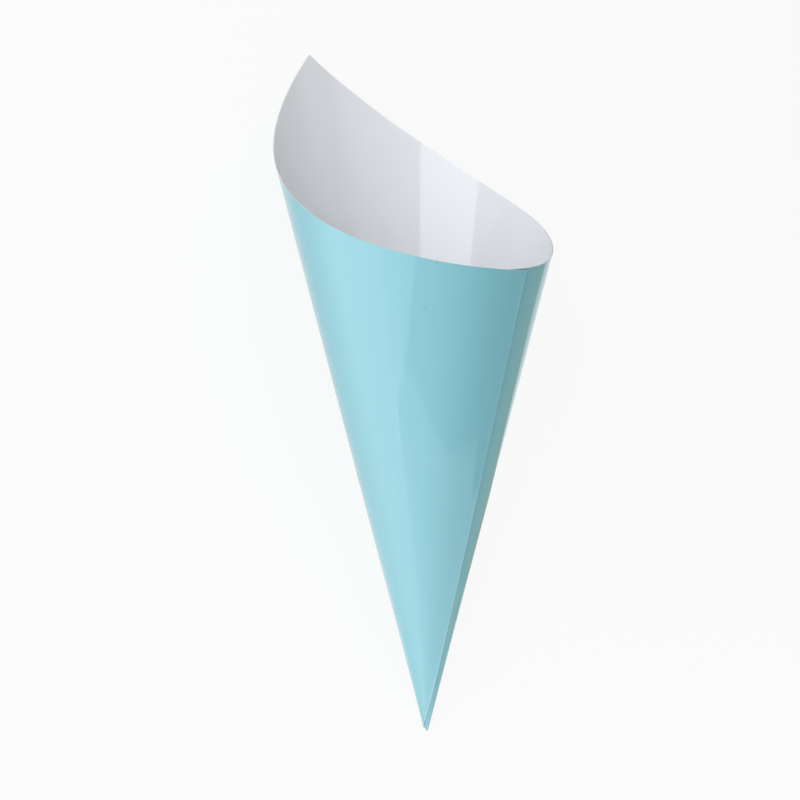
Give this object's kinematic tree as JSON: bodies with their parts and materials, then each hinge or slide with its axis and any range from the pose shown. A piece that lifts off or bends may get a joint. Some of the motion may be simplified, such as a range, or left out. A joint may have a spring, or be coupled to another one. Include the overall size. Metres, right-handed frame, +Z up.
{
  "type": "paper snack cone",
  "caption": "Pointed cone rolled from a square sheet of glossy card, aqua outside and white inside, with a glued seam and a tall pointed rim, for holding fries, nuts or sweets.",
  "frame": {"origin": "on the surface that the cone lies on, under the middle of its box", "axes": "+Z up; +X towards the tip, along the side that it lies on; the mouth and its tall corner are towards -X"},
  "size_m": [0.2534, 0.095, 0.0841],
  "materials": {
    "coated_card": "gloss coated aqua outside, gloss coated white inside, bare white cut edges"
  },
  "bodies": {
    "root": {"paper_cone": "coated_card"}
  },
  "joints": []
}
